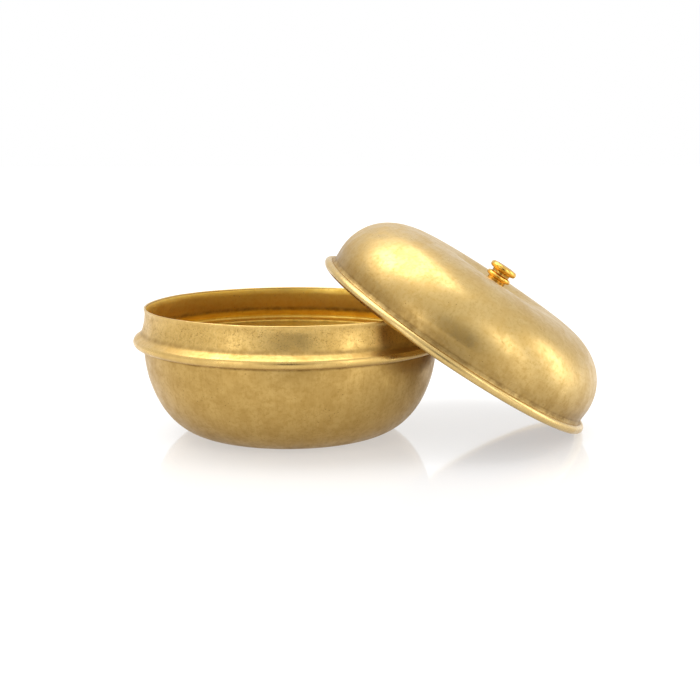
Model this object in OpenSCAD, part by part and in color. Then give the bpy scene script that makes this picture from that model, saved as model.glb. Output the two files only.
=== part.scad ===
// Brass masala dabba (spice box): a round bowl with a swaged bead, a dished
// dome lid with a turned knob, and seven loose katori cups.
// Millimetres, +Z up, origin at the centre of the bowl's flat base.
// The lid is shown lifted off and leaning: its rolled edge bears on the
// bowl's rim and on the table, and its top is turned a little to the front.

/* [Bowl] */
// Outside diameter of the bowl at its rim
rim_d = 200; // [196:0.5:202]
// Height of the bowl from the table to its rim
bowl_h = 87; // [84:0.5:92]
// Diameter of the flat that the bowl stands on
base_d = 114; // [104:1:118]
// Thickness of the bowl sheet
bowl_sheet = 1.2; // [1.0:0.1:1.5]
// Distance of the swaged bead's nose below the rim
bead_drop = 23.1; // [22.9:0.1:23.5]
// Outer radius of the bead's rounded nose
bead_r = 3.45; // [3.3:0.05:3.6]

/* [Lid] */
// Sheet thickness of the lid
lid_sheet = 1.2; // [1.0:0.1:1.4]
// Radius of the rolled edge of the lid, across its round section
roll_r = 3; // [2.8:0.1:3.2]
// Clearance between the rim of the bowl and the inside of the lid, on radius
lid_play = 0.4; // [0.35:0.05:0.6]
// Height of the lid's crest above the centre of its rolled edge
lid_h = 53; // [50:0.5:56]
// Radius of the crest ring of the lid
crest_r = 44; // [40:0.5:48]
// Depth of the dish in the middle of the lid, below the crest
dish_depth = 6.75; // [5:0.25:9]
// Lean of the lid from level
lean = 33; // [32.6:0.1:33.4]
// Turn of the leaning lid towards the front
lid_turn = 5; // [4:0.5:6]

/* [Knob] */
// Diameter of the knob's top disc
knob_top_d = 20; // [18:0.2:22]
// Diameter of the knob's middle disc
knob_mid_d = 18.2; // [17:0.2:21]
// Diameter of the knob's bottom disc
knob_low_d = 18.8; // [17:0.2:21]
// Thickness of the knob's top disc
knob_top_h = 4.9; // [4.4:0.1:5.4]
// Thickness of the knob's middle and bottom discs
knob_low_h = 3.7; // [3.4:0.1:4.2]
// Height from the middle of one disc to the next
knob_pitch = 6.2; // [5.8:0.1:6.6]
// Diameter of the stem that passes through the lid
stem_d = 5; // [4:0.25:6]

/* [Cups] */
// Outside diameter of each cup at its rolled lip
cup_d = 55.2; // [53:0.2:55.4]
// Height of each cup
cup_h = 51; // [46:0.5:52]
// Distance of the six outer cups' centres from the middle
cup_ring = 56; // [55.8:0.1:56]
// Sheet thickness of the cups
cup_sheet = 1; // [0.8:0.1:1.2]

/* [Hidden] */

brass = [0.80, 0.62, 0.30];
brass_pale = [0.84, 0.68, 0.36];
brass_bright = [0.87, 0.66, 0.28];
$fn = 96;

// gap left between loose pieces where they rest on each other
rest_gap = 0.3;

// ---- bowl ----------------------------------------------------------------
rim_r = rim_d / 2;
base_r = base_d / 2;
belly_r = rim_r + 0.5;            // widest radius of the belly
bead_z = bowl_h - bead_drop;      // height of the bead's centre
belly_z = bead_z - 3.9;           // height where the belly is widest
lip_r = 0.7;                      // half thickness of the rounded lip
steps = 22;

// belly: a rounded curve from the flat base up into the bead
function belly(t) = [
    base_r + (belly_r - base_r) * pow(cos(t), 2 / 2.09),
    belly_z - belly_z * pow(sin(t), 2 / 1.89)];
// unit normal pointing into the bowl at t
function belly_in(t) = let (
    a = belly(max(t - 0.6, 0)), b = belly(min(t + 0.6, 90)),
    d = b - a, l = norm(d)) [d[1] / l, -d[0] / l];
function belly_inner(t) = belly(t) + bowl_sheet * belly_in(t);
// the parameter runs from the base (90) up to the bead (t_top)
t_top = 6;
function belly_t(i) = 90 - (90 - t_top) * i / steps;

// arc of points round a centre
function arc(c, r, a0, a1, n) = [for (i = [0:n])
    c + r * [cos(a0 + (a1 - a0) * i / n), sin(a0 + (a1 - a0) * i / n)]];

bead_c = [rim_r + 4.05, bead_z];
bead_in_r = bead_r - bowl_sheet;

// foot of the neck, from the bead up, measured from the rim's radius and the
// bead's nose
flare = [[5.0, 3.5], [3.8, 4.35], [2.6, 5.4], [1.75, 6.8], [1.2, 8.4],
    [0.75, 10.1], [0.3, 12.1], [-0.1, 14.6]];
// unit normal of the flare, pointing outwards
function flare_n(i) = let (a = flare[max(i - 1, 0)],
    b = flare[min(i + 1, len(flare) - 1)], d = b - a, l = norm(d))
    [d[1] / l, -d[0] / l];

bowl_section = concat(
    [[0, 0]],
    [for (i = [0:steps]) belly(belly_t(i))],
    // up to the sharp corner under the bead, then round its nose
    [[belly_r - 0.05, bead_z - 6.4], [belly_r, bead_z - 4.2],
     [belly_r + 0.6, bead_z - bead_r]],
    arc(bead_c, bead_r, -90, 46, 14),
    // the neck flares down into the top of the bead
    [for (p = flare) [rim_r + p[0], bead_z + p[1]]],
    [[rim_r - 0.4, bowl_h - 6], [rim_r - 0.4, bowl_h - 3.2],
     [rim_r - 0.15, bowl_h - 1.6]],
    // rounded lip
    arc([rim_r - lip_r, bowl_h - lip_r], lip_r, -20, 200, 10),
    // inside of the neck, the hollow of the bead, inside of the belly
    [[rim_r - 0.35 - bowl_sheet, bowl_h - 2.4],
     [rim_r - 0.4 - bowl_sheet, bowl_h - 6]],
    [for (i = [len(flare) - 1:-1:0]) [rim_r, bead_z] + flare[i]
        - bowl_sheet * flare_n(i)],
    arc(bead_c, bead_in_r, 46, -90, 10),
    [[belly_r - bowl_sheet + 0.4, bead_z - bead_in_r],
     [belly_r - bowl_sheet - 0.1, bead_z - 3.4]],
    [for (i = [steps - 1:-1:0]) belly_inner(belly_t(i))],
    [[0, bowl_sheet]]);

module bowl() {
    color(brass) rotate_extrude($fn = 128) polygon(bowl_section);
}

// ---- lid -----------------------------------------------------------------
wall_in = rim_r + lid_play;           // inside radius of the lid's wall
wall_r = wall_in + lid_sheet;         // outside radius of the lid's wall
roll_c = rim_r + lid_play - 0.1 + roll_r;  // centre radius of the rolled edge
shoulder_z = 10.9;
dish_flat = 12;
dish_z = lid_h - dish_depth;

function dome(t) = [
    crest_r + (wall_r - crest_r) * pow(cos(t), 2 / 2.59),
    shoulder_z + (lid_h - shoulder_z) * pow(sin(t), 2 / 2.12)];
function dome_in(t) = let (
    a = dome(max(t - 0.6, 0)), b = dome(min(t + 0.6, 90)),
    d = b - a, l = norm(d)) dome(t) + lid_sheet * [-d[1] / l, d[0] / l];
// the dish: half a cosine wave from the crest down to the flat centre
function dish(u, dz) = [crest_r + (dish_flat - crest_r) * u,
    dish_z + dish_depth * (1 + cos(180 * u)) / 2 - dz];

lid_section = concat(
    [[wall_r, 2], [wall_r, shoulder_z - 3]],
    [for (i = [0:24]) dome(90 * i / 24)],
    [for (i = [1:10]) dish(i / 10, 0)],
    [[0, dish_z], [0, dish_z - lid_sheet]],
    [for (i = [10:-1:1]) dish(i / 10, lid_sheet)],
    [for (i = [23:-1:0]) dome_in(90 * i / 24)],
    [[wall_in, 2]]);

// resting place of the lid: the lowest point of the rolled edge is on the
// table, and the edge just meets the outside of the bowl
lid_z = roll_c * sin(lean) + roll_r;
function neck_gap(r, z) = norm([r - (rim_r - lip_r),
    z - max(bead_z + 14, min(z, bowl_h - lip_r))]) - lip_r;
// the bead and its flare, taken together
function bead_gap(r, z) = norm([r - rim_r - 2.6, z - bead_z - 1.4]) - 5;
// distance from the rolled edge's centre circle, at angle a, to the bowl
function edge_gap(x, a) = let (
    u = roll_c * cos(lean) * cos(a), v = roll_c * sin(a),
    px = x + u * cos(lid_turn) + v * sin(lid_turn),
    py = v * cos(lid_turn) - u * sin(lid_turn),
    pz = lid_z - roll_c * sin(lean) * cos(a), r = norm([px, py]))
    min(neck_gap(r, pz), bead_gap(r, pz));
function least_gap(x) = min([for (a = [60:0.5:300]) edge_gap(x, a)]);
function rest_x(lo, hi, n) = n == 0 ? hi : let (m = (lo + hi) / 2)
    least_gap(m) < roll_r + rest_gap ? rest_x(m, hi, n - 1)
        : rest_x(lo, m, n - 1);
lid_x = rest_x(104, 124, 14);

module at_lid() {
    translate([lid_x, 0, lid_z]) rotate([0, lean, -lid_turn]) children();
}

module lid_shell() {
    color(brass_pale) at_lid() difference() {
        union() {
            rotate_extrude($fn = 128) polygon(lid_section);
            // the edge, rolled outwards round a wire
            rotate_extrude($fn = 128) translate([roll_c, 0])
                circle(r = roll_r, $fn = 32);
        }
        // hollow of the rolled edge
        rotate_extrude($fn = 128) translate([roll_c, 0])
            circle(r = roll_r - lid_sheet, $fn = 32);
        // hole for the stem of the knob
        translate([0, 0, dish_z - 4]) cylinder(d = stem_d + 0.1, h = 8, $fn = 48);
    }
}

module lid_rim_wire() {
    color([0.55, 0.5, 0.4]) at_lid() rotate_extrude($fn = 128)
        translate([roll_c, 0]) circle(r = roll_r - lid_sheet - 0.1, $fn = 24);
}

// ---- knob ----------------------------------------------------------------
neck_r = 6.6;      // radius of the necks between the discs
foot_h = 0.6;
low_mid = foot_h + knob_low_h / 2;            // middle of the bottom disc
top_mid = low_mid + 2 * knob_pitch;           // middle of the top disc
// right half of a disc with a rounded edge, h thick about zm
function disc(d, h, zm) = concat([[neck_r, zm - h / 2]],
    arc([d / 2 - h / 2, zm], h / 2, -90, 90, 10), [[neck_r, zm + h / 2]]);

washer_h = 1;
knob_section = concat(
    [[0, -lid_sheet - washer_h - 1.2], [stem_d / 2 + 0.8, -lid_sheet - washer_h - 1.0],
     [stem_d / 2 + 1.4, -lid_sheet - washer_h - 0.5], [stem_d / 2 + 1.4, -lid_sheet - washer_h],
     [stem_d / 2, -lid_sheet - washer_h], [stem_d / 2, 0], [neck_r, 0]],
    disc(knob_low_d, knob_low_h, low_mid),
    disc(knob_mid_d, knob_low_h, low_mid + knob_pitch),
    [[neck_r, top_mid - knob_top_h / 2]],
    arc([knob_top_d / 2 - knob_top_h / 2, top_mid], knob_top_h / 2, -90, 90, 10),
    // the top is turned slightly hollow
    [[knob_top_d / 2 - 3.4, top_mid + knob_top_h / 2 - 0.35],
     [0, top_mid + knob_top_h / 2 - 0.6]]);

module knob() {
    color(brass_bright) at_lid() translate([0, 0, dish_z])
        rotate_extrude($fn = 64) polygon(knob_section);
}

module knob_washer() {
    color(brass) at_lid() translate([0, 0, dish_z - lid_sheet - washer_h])
        difference() {
            cylinder(d = 14, h = washer_h, $fn = 48);
            translate([0, 0, -1]) cylinder(d = stem_d + 0.1, h = washer_h + 2, $fn = 48);
        }
}

// ---- cups ----------------------------------------------------------------
cup_z = bowl_sheet + 1;   // they touch the curve of the bowl before its flat
cup_r = cup_d / 2;
cup_base = 6;
cup_curve = 30;
cup_lip = 0.9;
// outer curve of a cup from its wall (t = 0) round to its base (t = 90)
function cup(t) = [
    cup_base + (cup_r - 0.6 - cup_base) * cos(t),
    cup_curve - cup_curve * sin(t)];
function cup_in(t) = let (
    a = cup(max(t - 0.6, 0)), b = cup(min(t + 0.6, 90)),
    d = b - a, l = norm(d)) cup(t) + cup_sheet * [d[1] / l, -d[0] / l];

cup_section = concat(
    [[0, 0]],
    [for (i = [0:14]) cup(90 - 90 * i / 14)],
    [[cup_r - 0.5, cup_h - 2.6]],
    arc([cup_r - cup_lip, cup_h - cup_lip], cup_lip, -30, 210, 10),
    [[cup_r - 0.6 - cup_sheet, cup_h - 3.2], [cup_r - 0.6 - cup_sheet, cup_curve]],
    [for (i = [13:-1:0]) cup_in(90 - 90 * i / 14)],
    [[0, cup_sheet]]);

module katori(a, r) {
    color(brass_pale) rotate([0, 0, a]) translate([r, 0, cup_z])
        rotate_extrude($fn = 64) polygon(cup_section);
}
module katori_centre() { katori(0, 0); }
module katori_right_rear() { katori(30, cup_ring); }
module katori_rear() { katori(90, cup_ring); }
module katori_left_rear() { katori(150, cup_ring); }
module katori_left_front() { katori(210, cup_ring); }
module katori_front() { katori(270, cup_ring); }
module katori_right_front() { katori(330, cup_ring); }

bowl();
lid_shell();
lid_rim_wire();
knob();
knob_washer();
katori_centre();
katori_right_rear();
katori_rear();
katori_left_rear();
katori_left_front();
katori_front();
katori_right_front();
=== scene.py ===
import bpy
import math
import random
from mathutils import Matrix, Vector, noise


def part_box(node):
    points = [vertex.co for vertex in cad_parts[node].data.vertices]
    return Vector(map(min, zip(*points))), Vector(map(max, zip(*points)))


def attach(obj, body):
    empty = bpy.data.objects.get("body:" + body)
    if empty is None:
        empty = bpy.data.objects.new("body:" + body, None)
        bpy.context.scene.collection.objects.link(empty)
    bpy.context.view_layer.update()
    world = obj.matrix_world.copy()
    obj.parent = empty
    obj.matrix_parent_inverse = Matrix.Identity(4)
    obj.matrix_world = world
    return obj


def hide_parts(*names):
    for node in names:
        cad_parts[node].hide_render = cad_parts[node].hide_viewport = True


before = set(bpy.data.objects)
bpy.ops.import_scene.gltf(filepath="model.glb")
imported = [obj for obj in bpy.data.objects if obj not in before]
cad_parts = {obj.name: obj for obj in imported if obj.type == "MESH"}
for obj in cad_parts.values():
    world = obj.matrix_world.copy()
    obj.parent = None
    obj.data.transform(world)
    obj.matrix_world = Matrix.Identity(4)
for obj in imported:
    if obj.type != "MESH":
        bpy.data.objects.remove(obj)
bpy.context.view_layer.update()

MM = 0.001

# --------------------------------------------------------------------------
# camera: in front of the bowl, a little above its rim
# --------------------------------------------------------------------------
bowl_lo, bowl_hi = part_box("bowl")
RIM_Z = bowl_hi.z
cam_data = bpy.data.cameras.new("camera")
cam = bpy.data.objects.new("camera", cam_data)
bpy.context.scene.collection.objects.link(cam)
cam.location = (0.0, -0.850, RIM_Z + 0.1146)
cam.rotation_euler = (math.radians(90 - 9.806), 0.0, math.radians(-2.751))
cam_data.sensor_width = 36.0
cam_data.lens = 64.07
cam_data.clip_start = 0.01
cam_data.clip_end = 50.0
bpy.context.scene.camera = cam

# --------------------------------------------------------------------------
# mesh helpers
# --------------------------------------------------------------------------
def smoothstep(a, b, x):
    t = min(max((x - a) / (b - a), 0.0), 1.0)
    return t * t * (3 - 2 * t)


def bump(x, c, w):
    """1 at c, falling smoothly to 0 at w either side"""
    return max(0.0, 1 - abs(x - c) / w) ** 2 * (1 + 2 * abs(x - c) / w) if abs(x - c) < w else 0.0


def resample(pts, step):
    """Even spacing along a polyline, keeping its first and last points. pts: (r, z, ...)"""
    out = [pts[0]]
    for a, b in zip(pts, pts[1:]):
        d = math.hypot(b[0] - a[0], b[1] - a[1])
        n = max(1, int(math.ceil(d / step)))
        for i in range(1, n + 1):
            t = i / n
            out.append(tuple(a[k] + (b[k] - a[k]) * t for k in range(len(a))))
    return out


def arc(cx, cy, r, a0, a1, n):
    return [(cx + r * math.cos(math.radians(a0 + (a1 - a0) * i / n)),
             cy + r * math.sin(math.radians(a0 + (a1 - a0) * i / n))) for i in range(n + 1)]


def chaikin(pts, times=1, keep=()):
    """Corner cutting on an open polyline"""
    for _ in range(times):
        out = [pts[0]]
        for a, b in zip(pts, pts[1:]):
            out.append(tuple(a[k] * 0.75 + b[k] * 0.25 for k in range(2)))
            out.append(tuple(a[k] * 0.25 + b[k] * 0.75 for k in range(2)))
        out.append(pts[-1])
        pts = out
    return pts


def revolve(name, prof, segs, closed, warp=None, attrs=None, matrix=None):
    """Turns a profile of (r, z) in mm about Z. closed joins the last point to the first.
    Points with r = 0 become one vertex. attrs: name -> function(i, r, z, angle).
    warp(i, r, z, angle) gives the moved (r, z) in mm. The UV map holds angle and arc length in metres."""
    n = len(prof)
    s = [0.0]
    for a, b in zip(prof, prof[1:]):
        s.append(s[-1] + math.hypot(b[0] - a[0], b[1] - a[1]))
    verts, index = [], []
    for i, (r, z) in enumerate(prof):
        if r < 1e-6:
            index.append([len(verts)] * segs)
            rr, zz = warp(i, r, z, 0.0) if warp else (r, z)
            verts.append((0.0, 0.0, zz * MM))
            continue
        row = []
        for j in range(segs):
            a = 2 * math.pi * j / segs
            rr, zz = warp(i, r, z, a) if warp else (r, z)
            row.append(len(verts))
            verts.append((rr * MM * math.cos(a), rr * MM * math.sin(a), zz * MM))
        index.append(row)
    faces, uvs = [], []
    last = n if closed else n - 1
    rmax = max(p[0] for p in prof)
    for i in range(last):
        k = (i + 1) % n
        s0 = s[i]
        s1 = s[k] if k else s[-1] + math.hypot(prof[0][0] - prof[-1][0], prof[0][1] - prof[-1][1])
        for j in range(segs):
            l = (j + 1) % segs
            quad = [index[i][j], index[i][l], index[k][l], index[k][j]]
            uv = [(j / segs, s0), (( j + 1) / segs, s0), ((j + 1) / segs, s1), (j / segs, s1)]
            seen, q, u = set(), [], []
            for v, w in zip(quad, uv):
                if v not in seen:
                    seen.add(v)
                    q.append(v)
                    u.append(w)
            if len(q) > 2:
                faces.append(q)
                uvs.append(u)
    me = bpy.data.meshes.new(name)
    me.from_pydata(verts, [], faces)
    me.update()
    layer = me.uv_layers.new(name="turned")
    flat = []
    for u in uvs:
        for a, b in u:
            flat += [a * rmax * MM * 2 * math.pi, b * MM]
    layer.data.foreach_set("uv", flat)
    if attrs:
        for key, f in attrs.items():
            at = me.attributes.new(key, "FLOAT", "POINT")
            vals = [0.0] * len(verts)
            for i, (r, z) in enumerate(prof):
                if r < 1e-6:
                    vals[index[i][0]] = f(i, r, z, 0.0)
                else:
                    for j in range(segs):
                        vals[index[i][j]] = f(i, r, z, 2 * math.pi * j / segs)
            at.data.foreach_set("value", vals)
    me.polygons.foreach_set("use_smooth", [True] * len(me.polygons))
    ob = bpy.data.objects.new(name, me)
    bpy.context.scene.collection.objects.link(ob)
    if matrix is not None:
        me.transform(matrix)
    fix_normals(me)
    return ob


def fix_normals(me):
    import bmesh
    bm = bmesh.new()
    bm.from_mesh(me)
    bmesh.ops.recalc_face_normals(bm, faces=bm.faces[:])
    bm.to_mesh(me)
    bm.free()
    me.update()


def fbm(p, octaves=3):
    v, amp = 0.0, 1.0
    for _ in range(octaves):
        v += amp * noise.noise(p)
        p = p * 2.03 + Vector((3.1, 7.7, 1.3))
        amp *= 0.5
    return v


# --------------------------------------------------------------------------
# materials
# --------------------------------------------------------------------------
class Nodes:
    def __init__(self, name):
        self.m = bpy.data.materials.new(name)
        self.m.use_nodes = True
        self.t = self.m.node_tree
        self.t.nodes.clear()
        self.out = self.t.nodes.new("ShaderNodeOutputMaterial")
        self.b = self.t.nodes.new("ShaderNodeBsdfPrincipled")
        self.t.links.new(self.b.outputs[0], self.out.inputs[0])

    def n(self, kind, **props):
        x = self.t.nodes.new(kind)
        for k, v in props.items():
            setattr(x, k, v)
        return x

    def link(self, a, b):
        self.t.links.new(a, b)

    def obj(self):
        return self.n("ShaderNodeTexCoord").outputs["Object"]

    def uv(self):
        x = self.n("ShaderNodeUVMap")
        x.uv_map = "turned"
        return x.outputs[0]

    def attr(self, name):
        x = self.n("ShaderNodeAttribute")
        x.attribute_name = name
        return x.outputs["Fac"]

    def scaled(self, vec, s):
        x = self.n("ShaderNodeMapping")
        x.inputs["Scale"].default_value = s
        self.link(vec, x.inputs["Vector"])
        return x.outputs[0]

    def noise(self, vec, scale, detail=3.0, rough=0.55, distort=0.0):
        x = self.n("ShaderNodeTexNoise")
        x.inputs["Scale"].default_value = scale
        x.inputs["Detail"].default_value = detail
        x.inputs["Roughness"].default_value = rough
        x.inputs["Distortion"].default_value = distort
        self.link(vec, x.inputs["Vector"])
        return x.outputs["Fac"]

    def ramp(self, fac, a, b, lo=0.0, hi=1.0):
        x = self.n("ShaderNodeMapRange")
        x.interpolation_type = "SMOOTHSTEP"
        x.inputs["From Min"].default_value = a
        x.inputs["From Max"].default_value = b
        x.inputs["To Min"].default_value = lo
        x.inputs["To Max"].default_value = hi
        self.link(fac, x.inputs["Value"])
        return x.outputs[0]

    def math(self, op, a, b=None, clamp=False):
        x = self.n("ShaderNodeMath", operation=op, use_clamp=clamp)
        for i, v in enumerate((a, b)):
            if v is None:
                continue
            if isinstance(v, (int, float)):
                x.inputs[i].default_value = v
            else:
                self.link(v, x.inputs[i])
        return x.outputs[0]

    def mix(self, fac, a, b, blend="MIX"):
        x = self.n("ShaderNodeMix", data_type="RGBA", blend_type=blend)
        for sock, v in ((x.inputs[0], fac), (x.inputs[6], a), (x.inputs[7], b)):
            if isinstance(v, (int, float)):
                sock.default_value = v
            elif isinstance(v, tuple):
                sock.default_value = (*v, 1.0)
            else:
                self.link(v, sock)
        return x.outputs[2]


def brass(name, light, dark, tarnish_and_shade, rough=(0.27, 0.42), mottle=0.5, lines=0.5, speck=0.0,
          groove=True, seed=0.0, fine=1.0, line_scale=1.0, bump_mm=0.05, streaks=0.0, painted_shade_tint=None):
    """Hand-finished brass. light/dark: the two tones of the mottling. The third colour is tarnish in grooves and pits,
    and on the bowl also painted shade low on the outside. The optional tint multiplies the colour down as painted shade
    where the shade mask is set.
    """
    k = Nodes(name)
    p = k.b
    p.inputs["Metallic"].default_value = 1.0
    o = k.n("ShaderNodeMapping")
    o.inputs["Location"].default_value = (seed, seed * 1.7, -seed)
    k.link(k.obj(), o.inputs["Vector"])
    o = o.outputs[0]
    uv = k.uv()
    # broad cloudy patina, then smaller blotches
    big = k.noise(o, 26.0, 3.0, 0.6, 0.6)
    mid = k.noise(o, 95.0, 4.0, 0.6, 0.4)
    small = k.noise(o, 420.0, 4.0, 0.65)
    cloud = k.math("ADD", k.math("MULTIPLY", k.ramp(big, 0.34, 0.68), 0.30),
                   k.math("MULTIPLY", k.ramp(mid, 0.36, 0.68), 0.45))
    col = k.mix(k.math("MULTIPLY", cloud, mottle, clamp=True), light, dark)
    grit = k.ramp(small, 0.44, 0.70)
    col = k.mix(k.math("MULTIPLY", grit, 0.60 * fine), col, dark)
    dots = k.n("ShaderNodeTexVoronoi", feature="F1")
    dots.inputs["Scale"].default_value = 330.0
    k.link(o, dots.inputs["Vector"])
    dot = k.math("MULTIPLY", k.ramp(dots.outputs["Distance"], 0.05, 0.17, 1.0, 0.0),
                 k.ramp(k.noise(o, 60.0, 2.0), 0.50, 0.66))
    col = k.mix(k.math("MULTIPLY", dot, 0.75 * fine), col, tarnish_and_shade)
    # turning lines round the piece
    lv = k.scaled(uv, (6.0 * line_scale, 900.0 * line_scale, 1.0))
    turn = k.noise(lv, 1.0, 3.0, 0.6)
    lv2 = k.scaled(uv, (22.0, 2600.0, 1.0))
    turn2 = k.noise(lv2, 1.0, 2.0, 0.5)
    col = k.mix(k.math("MULTIPLY", k.ramp(turn, 0.50, 0.74), 0.20 * lines), col, dark)
    # marks of wiping and polishing, up and down the wall and a little askew
    if streaks > 0:
        sk = k.noise(k.scaled(uv, (1000.0, 75.0, 1.0)), 1.0, 4.0, 0.62, 0.6)
        sk2 = k.n("ShaderNodeMapping")
        sk2.inputs["Rotation"].default_value = (0.0, 0.0, 0.6)
        sk2.inputs["Scale"].default_value = (820.0, 60.0, 1.0)
        k.link(uv, sk2.inputs["Vector"])
        sk2 = k.noise(sk2.outputs[0], 1.0, 3.0, 0.6, 0.5)
        wipe = k.math("MAXIMUM", k.ramp(sk, 0.52, 0.72), k.math("MULTIPLY", k.ramp(sk2, 0.56, 0.72), 0.8))
        col = k.mix(k.math("MULTIPLY", wipe, 0.55 * streaks), col, dark)
    # stray scratches in all directions
    sc = k.n("ShaderNodeTexVoronoi", feature="DISTANCE_TO_EDGE")
    sc.inputs["Scale"].default_value = 60.0
    warp = k.n("ShaderNodeMapping")
    warp.inputs["Scale"].default_value = (1.0, 0.22, 0.45)
    warp.inputs["Rotation"].default_value = (0.5, 0.9, 0.3)
    k.link(o, warp.inputs["Vector"])
    k.link(warp.outputs[0], sc.inputs["Vector"])
    scratch = k.math("MULTIPLY", k.ramp(sc.outputs["Distance"], 0.0, 0.012, 1.0, 0.0),
                     k.ramp(k.noise(o, 34.0, 2.0), 0.50, 0.62))
    pits = None
    if speck > 0:
        v = k.n("ShaderNodeTexVoronoi", feature="F1")
        v.inputs["Scale"].default_value = 820.0
        v.inputs["Randomness"].default_value = 1.0
        k.link(o, v.inputs["Vector"])
        sand = k.ramp(v.outputs["Distance"], 0.18, 0.36, 1.0, 0.0)
        gate = k.ramp(k.noise(o, 210.0, 3.0, 0.6), 0.42, 0.62)
        pits = k.math("MULTIPLY", sand, gate)
        pits = k.math("MULTIPLY", pits, k.attr("speckle"))
        grain = k.math("MULTIPLY", k.ramp(k.noise(o, 760.0, 3.0, 0.7), 0.46, 0.70), k.attr("speckle"))
        pits = k.math("MAXIMUM", k.math("MULTIPLY", pits, speck), k.math("MULTIPLY", grain, speck * 0.45))
        col = k.mix(k.math("MULTIPLY", pits, 0.85, clamp=True), col, tarnish_and_shade)
    if groove:
        g = k.attr("groove")
        rag = k.ramp(k.noise(o, 160.0, 4.0, 0.65), 0.30, 0.72, 0.35, 1.0)
        gm = k.math("MULTIPLY", g, rag, clamp=True)
        col = k.mix(k.math("MULTIPLY", gm, 0.85), col, tarnish_and_shade)
        col = k.mix(k.math("MULTIPLY", k.attr("edge"), 0.45), col, light)
    # painted shade: where the shade mask is set, the colour is multiplied by the tint, darkening the bowl's belly and
    # the lid's lower wall
    if painted_shade_tint is not None:
        col = k.mix(k.attr("painted_shade_mask"), col, painted_shade_tint, "MULTIPLY")
    k.link(col, p.inputs["Base Color"])
    # roughness
    r = k.math("ADD", k.ramp(mid, 0.3, 0.7, rough[0], rough[1]),
               k.math("MULTIPLY", k.math("SUBTRACT", turn, 0.5), 0.16 * lines))
    r = k.math("ADD", r, k.math("MULTIPLY", grit, 0.05))
    if groove:
        r = k.math("ADD", r, k.math("MULTIPLY", gm, 0.18))
        r = k.math("SUBTRACT", r, k.math("MULTIPLY", k.attr("edge"), 0.07))
    if pits is not None:
        r = k.math("ADD", r, k.math("MULTIPLY", pits, 0.15))
    r = k.math("MAXIMUM", r, 0.08)
    k.link(r, p.inputs["Roughness"])
    # relief
    h = k.math("ADD", k.math("MULTIPLY", turn, 0.35 * lines), k.math("MULTIPLY", turn2, 0.20 * lines))
    h = k.math("ADD", h, k.math("MULTIPLY", small, 0.30 * fine))
    h = k.math("ADD", h, k.math("MULTIPLY", mid, 0.8))
    h = k.math("SUBTRACT", h, k.math("MULTIPLY", scratch, 0.35))
    h = k.math("SUBTRACT", h, k.math("MULTIPLY", dot, 0.6))
    if streaks > 0:
        h = k.math("SUBTRACT", h, k.math("MULTIPLY", wipe, 0.30 * streaks))
    if pits is not None:
        h = k.math("SUBTRACT", h, k.math("MULTIPLY", pits, 1.4))
    bp = k.n("ShaderNodeBump")
    bp.inputs["Strength"].default_value = 0.8
    bp.inputs["Distance"].default_value = bump_mm * MM
    k.link(h, bp.inputs["Height"])
    k.link(bp.outputs[0], p.inputs["Normal"])
    return k.m


LIGHT = (0.70, 0.475, 0.165)
DARK = (0.52, 0.325, 0.085)
TARNISH_AND_SHADE = (0.19, 0.105, 0.03)
# the last tint darkens the belly below the bead as painted shade
m_bowl_out = brass("brass_bowl_outside", LIGHT, DARK, TARNISH_AND_SHADE, rough=(0.30, 0.44), mottle=0.85, lines=0.30,
                   speck=1.0, streaks=0.8, painted_shade_tint=(0.76, 0.73, 0.69))
# inside of the bowl: a lighter, warmer copy of the brass, painted light for the light bouncing round inside the bowl
m_bowl_in_painted_light = brass("brass_bowl_inside_painted_light", (0.99, 0.71, 0.17), (0.88, 0.56, 0.085), (0.32, 0.17, 0.04),
                  rough=(0.38, 0.50), mottle=0.9, lines=0.9, seed=0.4, streaks=0.4)
# the last tint darkens the lid's lower wall as painted shade
m_lid = brass("brass_lid", (0.65, 0.465, 0.19), (0.49, 0.315, 0.09), TARNISH_AND_SHADE, rough=(0.28, 0.42),
              mottle=0.8, lines=0.8, seed=0.9, streaks=0.5, painted_shade_tint=(0.66, 0.60, 0.50))
m_knob = brass("brass_knob", (0.78, 0.47, 0.10), (0.62, 0.33, 0.05), (0.17, 0.085, 0.02), rough=(0.12, 0.20),
               mottle=0.5, lines=0.7, seed=1.4, line_scale=1.6, bump_mm=0.02)
m_cup = brass("brass_cup", (0.74, 0.50, 0.17), (0.57, 0.35, 0.09), TARNISH_AND_SHADE, rough=(0.20, 0.34),
              mottle=0.6, lines=1.0, seed=2.2, bump_mm=0.035)
m_washer = brass("brass_washer", (0.70, 0.47, 0.17), (0.52, 0.32, 0.09), TARNISH_AND_SHADE, rough=(0.26, 0.40),
                 mottle=0.7, lines=1.0, seed=4.0, line_scale=2.0)
m_wire = brass("brass_wire", (0.58, 0.40, 0.15), (0.43, 0.27, 0.08), TARNISH_AND_SHADE, rough=(0.35, 0.5),
               mottle=0.7, lines=0.0, groove=False, seed=5.0)

# --------------------------------------------------------------------------
# bowl
# --------------------------------------------------------------------------
RIM_R, H, SHEET = 100.0, RIM_Z / MM, 1.2
BASE_R, BELLY_R = 57.0, 100.35
BEAD_Z, BEAD_R, BEAD_C = H - 23.1, 3.42, RIM_R + 4.02
BELLY_Z = BEAD_Z - 3.9
FLARE = [(4.95, 3.45), (3.75, 4.25), (2.55, 5.3), (1.70, 6.7), (1.15, 8.3), (0.70, 10.0), (0.22, 12.0), (-0.2, 14.4)]


def belly(t):
    t = math.radians(t)
    return (BASE_R + (BELLY_R - BASE_R) * math.cos(t) ** (2 / 2.09),
            BELLY_Z - BELLY_Z * math.sin(t) ** (2 / 1.89))


def inset(pts, d):
    """Moves a polyline by d to its left"""
    out = []
    for i, p in enumerate(pts):
        a, b = pts[max(i - 1, 0)], pts[min(i + 1, len(pts) - 1)]
        l = math.hypot(b[0] - a[0], b[1] - a[1]) or 1e-9
        out.append((p[0] - (b[1] - a[1]) / l * d, p[1] + (b[0] - a[0]) / l * d))
    return out


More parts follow.
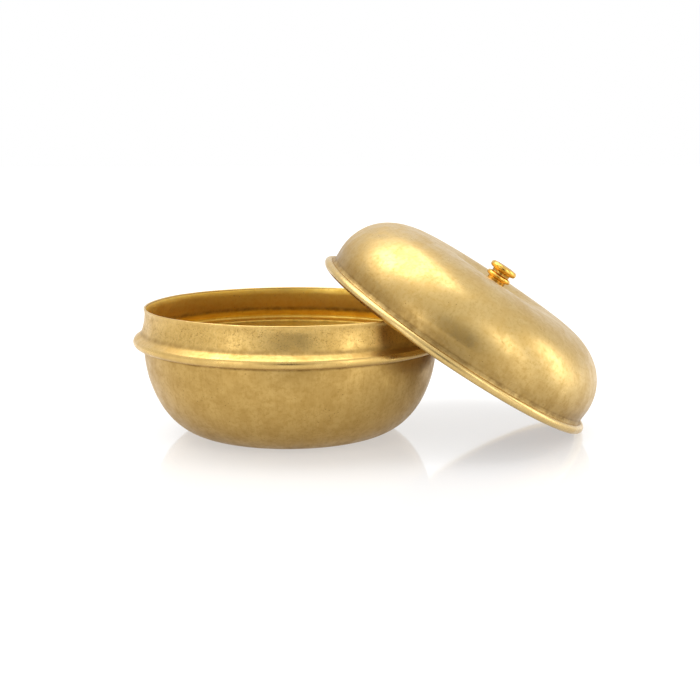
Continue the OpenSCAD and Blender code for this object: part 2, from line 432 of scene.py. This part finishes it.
def bowl_profile():
    # outside, from the middle of the base up
    ts = [90 - 84.5 * i / 90 for i in range(91)]
    outer_belly = [belly(t) for t in ts]
    out = [(0.0, 0.0), (BASE_R * 0.5, 0.0)] + outer_belly
    under = [(BELLY_R, BEAD_Z - 5.6), (BELLY_R + 0.03, BEAD_Z - 4.4), (BELLY_R + 0.25, BEAD_Z - 3.75),
             (BELLY_R + 0.8, BEAD_Z - BEAD_R - 0.02)]
    bead = under + arc(BEAD_C, BEAD_Z, BEAD_R, -90, 44, 30)
    flare = [(RIM_R + x, BEAD_Z + y) for x, y in FLARE]
    neck = flare + [(RIM_R - 0.55, H - 6.0), (RIM_R - 0.65, H - 4.5), (RIM_R - 0.58, H - 3.0), (RIM_R - 0.28, H - 1.7)]
    neck = chaikin([bead[-1]] + neck, 2)[1:]
    lip = arc(RIM_R - 0.78, H - 0.72, 0.70, -15, 195, 14)
    inner_neck = chaikin([lip[-1], (RIM_R - 1.72, H - 2.2), (RIM_R - 1.85, H - 4.5), (RIM_R - 1.75, H - 6.0)]
                         + inset(flare, SHEET)[::-1], 2)[1:]
    hollow = arc(BEAD_C, BEAD_Z, BEAD_R - SHEET, 44, -90, 24)
    inner_belly = inset(outer_belly, SHEET)[::-1]
    inner = chaikin([hollow[-1], (BELLY_R - SHEET + 0.5, BEAD_Z - 2.3), (BELLY_R - SHEET, BEAD_Z - 3.0),
                     (BELLY_R - SHEET, BEAD_Z - 5.0), inner_belly[0]], 2)[1:] + inner_belly[1:]
    path = out + bead + neck + lip
    mark = len(path)
    path2 = inner_neck + hollow + inner + [(BASE_R * 0.5, SHEET), (0.0, SHEET)]
    step = 0.9
    a = resample(path, step)
    b = resample(path2, step)
    return a + b, len(a)


prof, n_out = bowl_profile()
SEGS = 360


def bowl_warp(i, r, z, a):
    # hand-raised sheet: never quite round, and the rim not quite level
    c, s = math.cos(a), math.sin(a)
    k = smoothstep(2.0, 30.0, z) if r > BASE_R * 0.9 else 0.0
    p = Vector((c * 1.3, s * 1.3, z * 0.012))
    dr = 0.20 * fbm(p + Vector((4.2, 1.1, 0.3)), 2) + 0.06 * fbm(Vector((c * 5, s * 5, z * 0.06)), 2)
    top = smoothstep(H - 8, H, z)
    dz = top * (0.22 * noise.noise(Vector((c * 1.7, s * 1.7, 3.3))) + 0.07 * noise.noise(Vector((c * 7, s * 7, 9.0))) - 0.25)
    dr -= 0.10
    # slight unevenness of the bead
    if r > BASE_R:
        dz += 0.20 * bump(z, BEAD_Z, 13.0) * noise.noise(Vector((c * 2.1, s * 2.1, 7.7)))
    if r > BASE_R * 0.9:
        return r + dr * k, z + dz
    # the flat of the base is slightly dished between the middle and the edge
    return r, z + (0.25 * smoothstep(BASE_R * 0.85, BASE_R * 0.3, r) if i < n_out else 0.0)


def g_bowl(i, r, z, a):
    if i < n_out:   # outside
        v = bump(z, BEAD_Z - 4.1, 1.7) * (1.0 if r < RIM_R + 2.6 else 0.0)
        v = max(v, 0.55 * bump(z, BEAD_Z + 6.3, 2.6))
        # painted shade: the tarnish colour is laid over the lower 30 mm of the outside, heaviest in the last 7 mm at
        # the base
        v = max(v, 0.30 * smoothstep(7.0, 0.0, z) + 0.30 * smoothstep(30.0, 3.0, z))
        return min(v, 1.0)
    v = 0.8 * bump(z, BEAD_Z + 6.0, 3.0)
    v = max(v, 0.6 * bump(z, BEAD_Z - 3.0, 2.5))
    v = max(v, 0.5 * smoothstep(30.0, 4.0, z))
    return v


def e_bowl(i, r, z, a):
    v = smoothstep(H - 1.6, H - 0.5, z)
    if i < n_out:
        v = max(v, 0.9 * smoothstep(RIM_R + 5.0, RIM_R + 7.0, r))
    return v


# painted shade mask: the whole outside below the bead, a little uneven round the bowl, is darkened by the outside's
# tint
def painted_shade_bowl(i, r, z, a):
    if i >= n_out:
        return 0.0
    n = noise.noise(Vector((math.cos(a) * 2.2, math.sin(a) * 2.2, z * 0.03 + 5.0)))
    return smoothstep(BEAD_Z + 1.0, BEAD_Z - 5.0, z) * (0.92 + 0.25 * n)


def s_bowl(i, r, z, a):
    if i >= n_out:
        return 0.0
    n = noise.noise(Vector((math.cos(a) * 3, math.sin(a) * 3, z * 0.05)))
    v = smoothstep(BEAD_Z + 6.5, BEAD_Z + 9.5, z) * smoothstep(H - 0.8, H - 3.5, z)
    w = 0.22 * smoothstep(0.0, 0.5, n) if z < BEAD_Z - 7 else 0.0
    return max(v * (0.75 + 0.35 * n), w, 0.0)


bowl = revolve("bowl_spun", prof, SEGS, False, bowl_warp,
               {"groove": g_bowl, "edge": e_bowl, "speckle": s_bowl, "painted_shade_mask": painted_shade_bowl})
bowl.data.materials.append(m_bowl_out)
bowl.data.materials.append(m_bowl_in_painted_light)
# inside faces take the lighter, warmer copy of the brass: painted light for the light bouncing round inside the bowl
for poly in bowl.data.polygons:
    row = min(poly.vertices)
    poly.material_index = 0
idx_split = 1 + (n_out - 1) * SEGS      # first vertex of the inside, roughly
for poly in bowl.data.polygons:
    if min(poly.vertices) >= idx_split - 2 * SEGS and max(poly.vertices) > idx_split + 2 * SEGS:
        poly.material_index = 1
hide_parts("bowl")
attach(bowl, "base")

# --------------------------------------------------------------------------
# lid: built level about its own axis, then leaned
# --------------------------------------------------------------------------
w_lo, w_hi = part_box("lid_rim_wire")
LID_C = (w_lo + w_hi) / 2
LEAN, TURN = math.radians(33), math.radians(5)
lid_m = Matrix.Translation(LID_C) @ Matrix.Rotation(-TURN, 4, "Z") @ Matrix.Rotation(LEAN, 4, "Y")
WALL_IN, LSHEET, ROLL_R = 100.4, 1.2, 3.0
WALL_R = WALL_IN + LSHEET
ROLL_C = RIM_R + 0.3 + ROLL_R
SHOULDER_Z, LID_H, CREST_R, DISH_D, DISH_FLAT = 10.9, 53.0, 44.0, 6.75, 12.0
DISH_Z = LID_H - DISH_D


def dome(t):
    t = math.radians(t)
    return (CREST_R + (WALL_R - CREST_R) * max(math.cos(t), 0.0) ** (2 / 2.59),
            SHOULDER_Z + (LID_H - SHOULDER_Z) * math.sin(t) ** (2 / 2.12))


def lid_profile():
    # outside: round the rolled edge, up the wall, over the crest, down into the dish
    roll = arc(ROLL_C, 0.0, ROLL_R - 0.03, -155, 118, 40)
    wall = chaikin([roll[-1], (WALL_R + 0.05, 3.3), (WALL_R - 0.35, 5.0), (WALL_R - 0.30, 7.0), dome(3)], 2)[1:-1]
    top = [dome(3 + 87 * (i / 90)) for i in range(91)]
    dish = []
    for i in range(1, 41):
        u = i / 40
        dish.append((CREST_R + (DISH_FLAT - CREST_R) * u, DISH_Z + DISH_D * (1 + math.cos(math.pi * u)) / 2))
    outer = wall + top + dish + [(6.0, DISH_Z), (3.0, DISH_Z), (0.0, DISH_Z)]
    inner_src = top + dish + [(6.0, DISH_Z), (0.0, DISH_Z)]
    inner = inset(inner_src, LSHEET)[::-1]
    inner[0] = (0.0, DISH_Z - LSHEET)
    inner_wall = [(WALL_IN - 0.02, SHOULDER_Z - 2), (WALL_IN, 5.0), (WALL_IN - 0.02, 2.4), (WALL_IN - 0.05, 1.0)]
    step = 1.0
    a = resample(roll + outer, step)
    b = resample(inner + inner_wall, step)
    return a + b, len(a), len(resample(roll, step))


lprof, l_out, l_roll = lid_profile()


def lid_warp(i, r, z, a):
    c, s = math.cos(a), math.sin(a)
    k = smoothstep(6.0, 22.0, z)
    p = Vector((c * 1.2 * r / 100, s * 1.2 * r / 100, z * 0.012))
    d = 0.28 * fbm(p + Vector((9.2, 3.1, 5.3)), 2) + 0.07 * fbm(Vector((c * 5 * r / 100, s * 5 * r / 100, z * 0.05)), 2)
    dz = (d - 0.12) * smoothstep(30.0, 50.0, z) * 0.8
    dr = (d - 0.12) * k * smoothstep(40.0, 70.0, r)
    if r < 16:
        dz *= smoothstep(11.0, 16.0, r)
    if i < l_roll or z < 6:
        dz += 0.05 * noise.noise(Vector((c * 2.3, s * 2.3, 1.7)))
    return r + dr, z + dz


def g_lid(i, r, z, a):
    if i < l_out:
        v = 1.0 * bump(z, 4.4, 3.4) * (1.0 if r < WALL_R + 1.6 else 0.0)
        v = max(v, 0.35 * bump(z, 8.0, 5.0) * (1.0 if r < WALL_R + 0.6 else 0.0))
        v = max(v, 0.45 * smoothstep(15.5, 10.0, r))
        return min(v, 1.0)
    return 0.35 * smoothstep(22.0, 8.0, r)


def e_lid(i, r, z, a):
    if i < l_out and r > WALL_R + 1.4 and z < 4:
        return smoothstep(WALL_R + 1.4, WALL_R + 3.4, r)
    return 0.0


# painted shade mask: the lid's outside wall, from the rolled edge up to about 30 mm, is darkened by the lid's tint,
# unevenly round the lid
def painted_shade_lid(i, r, z, a):
    if i >= l_out or z < 5.0:
        return 0.0
    n = noise.noise(Vector((math.cos(a) * 3.0, math.sin(a) * 3.0, z * 0.05 + 2.0)))
    return min(max((0.75 + 0.5 * n) * smoothstep(30.0, 9.0, z + 7.0 * n), 0.0), 1.0)


lid = revolve("lid_spun", lprof, SEGS, True, lid_warp, {"groove": g_lid, "edge": e_lid, "painted_shade_mask": painted_shade_lid}, lid_m)
lid.data.materials.append(m_lid)
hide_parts("lid_shell")
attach(lid, "lid")

# the wire inside the rolled edge is hidden, and keeps its CAD shape
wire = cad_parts["lid_rim_wire"]
wire.data.materials.clear()
wire.data.materials.append(m_wire)

# --------------------------------------------------------------------------
# knob and washer
# --------------------------------------------------------------------------
KN_TOP, KN_MID, KN_LOW, PITCH, TOP_T, LOW_T, NECK = 19.9, 18.1, 18.7, 6.2, 4.8, 3.6, 6.6
LOW_MID = DISH_Z + 0.6 + 1.85           # middle of the bottom disc
TOP_MID = LOW_MID + 2 * PITCH


def knob_profile():
    def disc(d, h, zm):
        # rounded edge with a slightly flattened band, as left by the tool
        r, k = d / 2, h * 0.46
        p = [(NECK, zm - h / 2 - 0.20), (NECK + 0.5, zm - h / 2 + 0.02), (r - k, zm - h / 2 + 0.05)]
        p += arc(r - k, zm, k, -75, 75, 14)
        return p + [(r - k, zm + h / 2 - 0.05), (NECK + 0.5, zm + h / 2 - 0.02), (NECK, zm + h / 2 + 0.20)]
    z0 = DISH_Z
    p = [(0.0, z0 - 4.4 + 0.03), (1.6, z0 - 4.35), (2.9, z0 - 4.1), (3.8, z0 - 3.2), (3.85, z0 - 2.25),
         (2.48, z0 - 2.2), (2.48, z0 + 0.0), (NECK - 0.05, z0 + 0.02), (NECK - 0.02, z0 + 0.3)]
    p += disc(KN_LOW, LOW_T, LOW_MID)
    p += disc(KN_MID, LOW_T, LOW_MID + PITCH)
    r, zt, k = KN_TOP / 2, TOP_MID + TOP_T / 2, TOP_T * 0.47
    p += [(NECK, TOP_MID - TOP_T / 2 - 0.20), (NECK + 0.5, TOP_MID - TOP_T / 2 + 0.02),
          (r - k, TOP_MID - TOP_T / 2 + 0.05)]
    p += arc(r - k, TOP_MID, k, -75, 80, 16)
    p += [(r - 2.9, zt - 0.12), (r - 3.4, zt - 0.42), (r - 4.6, zt - 0.52),
          (2.2, zt - 0.66), (1.2, zt - 0.62), (0.0, zt - 0.62)]
    return resample(p, 0.35)


kp = knob_profile()


def g_knob(i, r, z, a):
    v = 0.9 * smoothstep(8.4, 6.8, r) * bump(z, DISH_Z + 0.3, 0.9)
    for zc in (LOW_MID + PITCH / 2, TOP_MID - TOP_T / 2 - 0.9):
        v = max(v, smoothstep(8.2, 6.8, r) * bump(z, zc, 1.5))
    v = max(v, 0.55 * bump(r, KN_TOP / 2 - 3.5, 0.7) * smoothstep(TOP_MID + 1.2, TOP_MID + 2.1, z))
    return min(v, 1.0)


def e_knob(i, r, z, a):
    return smoothstep(8.4, 9.4, r)


knob = revolve("knob_turned", kp, 128, False, None, {"groove": g_knob, "edge": e_knob}, lid_m)
knob.data.materials.append(m_knob)
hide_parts("knob")
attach(knob, "lid")

zw = DISH_Z - LSHEET
wp = [(2.6, zw - 0.05)] + [(6.5, zw - 0.03)] + arc(6.72, zw - 0.27, 0.22, 90, 0, 4) + \
     arc(6.72, zw - 0.72, 0.22, 0, -90, 4) + [(2.75, zw - 0.97), (2.6, zw - 0.85)]
washer = revolve("washer_turned", resample(wp, 0.4), 96, True, None,
                 {"groove": lambda i, r, z, a: 0.7 * smoothstep(4.4, 3.6, r), "edge": lambda i, r, z, a: smoothstep(6.5, 6.9, r)},
                 lid_m)
washer.data.materials.append(m_washer)
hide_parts("knob_washer")
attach(washer, "lid")

# --------------------------------------------------------------------------
# cups
# --------------------------------------------------------------------------
CUP_R, CUP_H, CUP_SHEET, CUP_BASE, CUP_CURVE = 27.6, 51.0, 1.0, 6.0, 30.0


def cup_profile():
    c = []
    for i in range(41):
        t = math.radians(90 - 90 * i / 40)
        c.append((CUP_BASE + (CUP_R - 0.6 - CUP_BASE) * math.cos(t), CUP_CURVE - CUP_CURVE * math.sin(t)))
    outer = [(0.0, 0.35), (CUP_BASE - 1.4, 0.35), (CUP_BASE - 0.8, 0.05)] + c[1:] + \
        [(CUP_R - 0.62, CUP_H - 8.0), (CUP_R - 0.55, CUP_H - 3.4), (CUP_R - 0.5, CUP_H - 2.4)]
    lip = arc(CUP_R - 0.93, CUP_H - 0.93, 0.88, -40, 200, 18)
    inner = [(CUP_R - 1.75, CUP_H - 3.4), (CUP_R - 1.6, CUP_H - 7.0), (CUP_R - 1.6, CUP_CURVE)] + \
        [q for q in inset(c, CUP_SHEET)[::-1][1:-2]] + [(CUP_BASE - 2, CUP_SHEET + 0.1), (0.0, CUP_SHEET + 0.3)]
    step = 1.0
    a = resample(outer + lip, step)
    b = resample(inner, step)
    return a + b, len(a)


cprof, c_out = cup_profile()


def g_cup(i, r, z, a):
    if i < c_out:
        v = 0.9 * bump(z, CUP_H - 2.3, 1.3) * (1.0 if r < CUP_R - 0.2 else 0.0)
        return max(v, 0.5 * smoothstep(5.0, 0.5, z))
    v = 0.55 * smoothstep(22.0, 4.0, z)
    v = max(v, 0.35 * bump(z, 34.0 + 3.0 * noise.noise(Vector((math.cos(a) * 2, math.sin(a) * 2, 4))), 5.0))
    return v


def e_cup(i, r, z, a):
    return smoothstep(CUP_H - 1.6, CUP_H - 0.6, z)


CUPS = {"katori_centre": "cup_centre", "katori_right_rear": "cup_right_rear", "katori_rear": "cup_rear",
        "katori_left_rear": "cup_left_rear", "katori_left_front": "cup_left_front",
        "katori_front": "cup_front", "katori_right_front": "cup_right_front"}
for n, (node, body) in enumerate(sorted(CUPS.items())):
    lo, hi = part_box(node)
    cx, cy = (lo.x + hi.x) / 2, (lo.y + hi.y) / 2

    def cup_warp(i, r, z, a, n=n):
        c, s = math.cos(a), math.sin(a)
        k = smoothstep(20.0, CUP_H, z)
        d = 0.12 * noise.noise(Vector((c * 1.2, s * 1.2, n * 3.7 + z * 0.02))) - 0.08
        return r + (d * k if r > 8 else 0.0), z - 0.05 * k + 0.04 * k * noise.noise(Vector((c * 2, s * 2, n * 5.1)))
    turn = Matrix.Rotation(n * 0.9, 4, "Z")
    cup = revolve(node + "_spun", cprof, 144, False, cup_warp, {"groove": g_cup, "edge": e_cup},
                  Matrix.Translation((cx, cy, lo.z)) @ turn)
    cup.data.materials.append(m_cup)
    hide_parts(node)
    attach(cup, body)

# --------------------------------------------------------------------------
# floor, light
# --------------------------------------------------------------------------
def plane(name, size, loc):
    me = bpy.data.meshes.new(name)
    h = size / 2
    me.from_pydata([(-h, -h, 0), (h, -h, 0), (h, h, 0), (-h, h, 0)], [], [(0, 1, 2, 3)])
    ob = bpy.data.objects.new(name, me)
    ob.location = loc
    bpy.context.scene.collection.objects.link(ob)
    return ob


floor = plane("floor", 14.0, (0, 0, -0.0002))
kf = Nodes("pale_floor")
kf.b.inputs["Base Color"].default_value = (0.44, 0.44, 0.44, 1)
kf.b.inputs["Roughness"].default_value = 0.07
kf.b.inputs["IOR"].default_value = 1.45
kf.b.inputs["Emission Color"].default_value = (1, 1, 1, 1)
kf.b.inputs["Emission Strength"].default_value = 0.48
floor.data.materials.append(kf.m)

# the dim part of the studio, behind the camera
dim = plane("dim_studio", 1.0, (0, 0, 0))
dim.scale = (0.62, 0.80, 1)
dim.rotation_euler = (math.radians(90), 0, 0)
dim.location = (-0.02, -1.35, 0.36)
kd = Nodes("dim_cloth")
kd.b.inputs["Base Color"].default_value = (0.09, 0.085, 0.08, 1)
kd.b.inputs["Roughness"].default_value = 0.9
dim.data.materials.append(kd.m)

world = bpy.data.worlds.new("studio")
bpy.context.scene.world = world
world.use_nodes = True
bg = world.node_tree.nodes["Background"]
bg.inputs["Color"].default_value = (1.0, 1.0, 1.0, 1)
bg.inputs["Strength"].default_value = 1.0


def area(name, loc, target, size, power, color=(1, 1, 1)):
    d = bpy.data.lights.new(name, "AREA")
    d.shape = "RECTANGLE"
    d.size, d.size_y = size
    d.energy = power
    d.color = color
    o = bpy.data.objects.new(name, d)
    o.location = loc
    o.rotation_euler = (Vector(target) - Vector(loc)).to_track_quat("-Z", "Y").to_euler()
    bpy.context.scene.collection.objects.link(o)
    return o


area("softbox_left", (-0.75, 0.15, 1.25), (0.03, 0, 0.06), (0.7, 0.7), 3.2)
area("softbox_right", (1.5, -0.10, 0.35), (0.10, 0, 0.06), (0.6, 0.7), 3.0)
area("softbox_front_left", (-1.1, -1.2, 0.55), (0.03, 0, 0.06), (0.5, 0.9), 1.8)
area("softbox_front_right", (1.1, -1.1, 0.55), (0.03, 0, 0.06), (0.5, 0.9), 2.8)
area("overhead", (-0.06, 0.15, 1.2), (-0.02, 0, 0.03), (1.10, 1.00), 8.0)

bpy.context.scene.view_settings.view_transform = "Standard"
